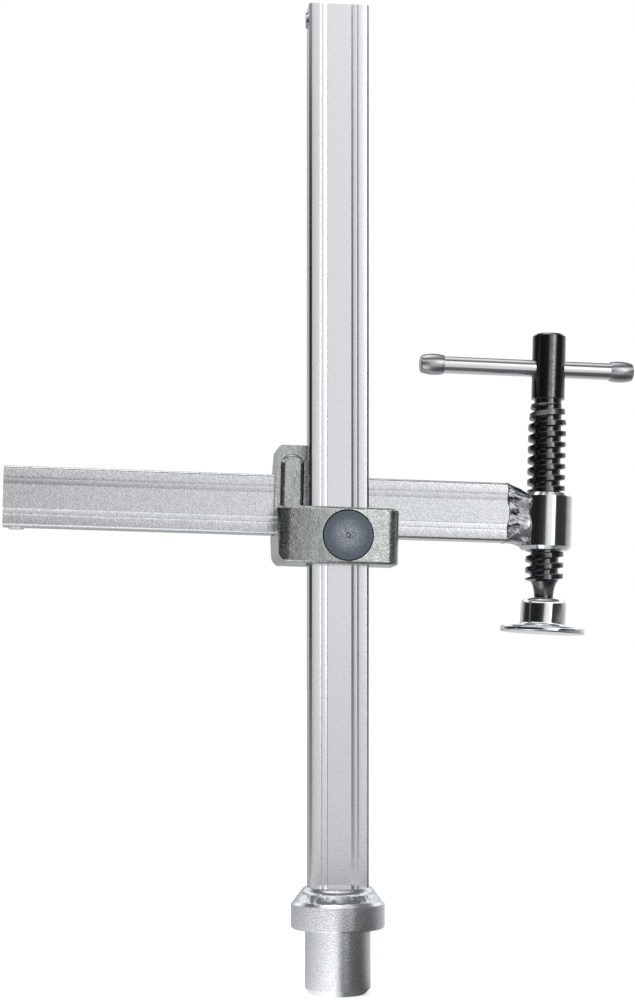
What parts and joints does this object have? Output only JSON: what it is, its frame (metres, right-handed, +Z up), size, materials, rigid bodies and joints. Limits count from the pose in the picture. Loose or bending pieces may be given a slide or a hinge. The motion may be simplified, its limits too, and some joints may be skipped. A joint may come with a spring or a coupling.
{
  "type": "welding table fixture clamp",
  "caption": "Table clamp with a spigot foot, an upright profiled rail, a canting cast crosspiece, a sliding cross arm and a coarse-threaded spindle with swivel pad.",
  "frame": {"origin": "on the spigot's axis, in the plane of the collar's underside, which lies on the table", "axes": "+Z up the post, +X towards the spindle, +Y to the rear, where the arm passes behind the post"},
  "size_m": [0.2739, 0.0534, 0.4185],
  "materials": {
    "rail_steel": "drawn profile, zinc plated",
    "zinc_steel": "turned, zinc plated, satin",
    "weld_metal": "weld bead, zinc plated",
    "cast_zinc": "cast, galvanised",
    "plug_steel": "blasted, bluish grey",
    "bright_steel": "turned, bright plated",
    "black_steel": "black oxide, oiled",
    "bar_steel": "drawn, satin",
    "cap_steel": "pressed, dull",
    "spring_wire": "spring wire"
  },
  "bodies": {
    "base": {"post_rail": "rail_steel", "table_spigot": "zinc_steel", "post_weld": "weld_metal"},
    "plug": {"pressure_plug": "plug_steel"},
    "slider": {"crosspiece": "cast_zinc"},
    "arm": {"arm_rail": "rail_steel", "arm_weld": "weld_metal", "spindle_nut": "bright_steel"},
    "feed": {"pad_snap_ring": "spring_wire"},
    "screw": {"spindle": "black_steel"},
    "handle": {"tommy_bar": "bar_steel", "tommy_cap_left": "cap_steel", "tommy_cap_right": "cap_steel"},
    "pad": {"pressure_pad": "bright_steel"}
  },
  "joints": [
    {"name": "slider_height", "type": "slide", "parent": "base", "child": "plug", "axis": [0, 0, 1], "range_m": [-0.135, 0.2015]},
    {"name": "slider_cant", "type": "hinge", "parent": "plug", "child": "slider", "pos_m": [0.00288, 0.01494, 0.16591], "axis": [0, 1, 0], "range_deg": [-1.3, 0]},
    {"name": "arm_reach", "type": "slide", "parent": "slider", "child": "arm", "axis": [0.9997, 0, -0.0227], "range_m": [-0.0485, 0.1045]},
    {"name": "screw_feed", "type": "slide", "parent": "arm", "child": "feed", "axis": [-0.0227, 0, -0.9997], "range_m": [-0.0192, 0.0384]},
    {"name": "screw_turn", "type": "hinge", "parent": "feed", "child": "screw", "pos_m": [0.09338, 0.01494, 0.17778], "axis": [-0.0227, 0, -0.9997], "range_deg": [-1440, 2880]},
    {"name": "handle_slide", "type": "slide", "parent": "screw", "child": "handle", "axis": [0.9997, 0, -0.0227], "range_m": [-0.0198, 0.0391]},
    {"name": "pad_tilt", "type": "hinge", "parent": "feed", "child": "pad", "pos_m": [0.09237, 0.01494, 0.13344], "axis": [0, 1, 0], "range_deg": [-6.9, 3.1]}
  ],
  "couplings": [
    {"joint": "screw_feed", "follows": "screw_turn", "m_per_rad": 0.00076394}
  ]
}
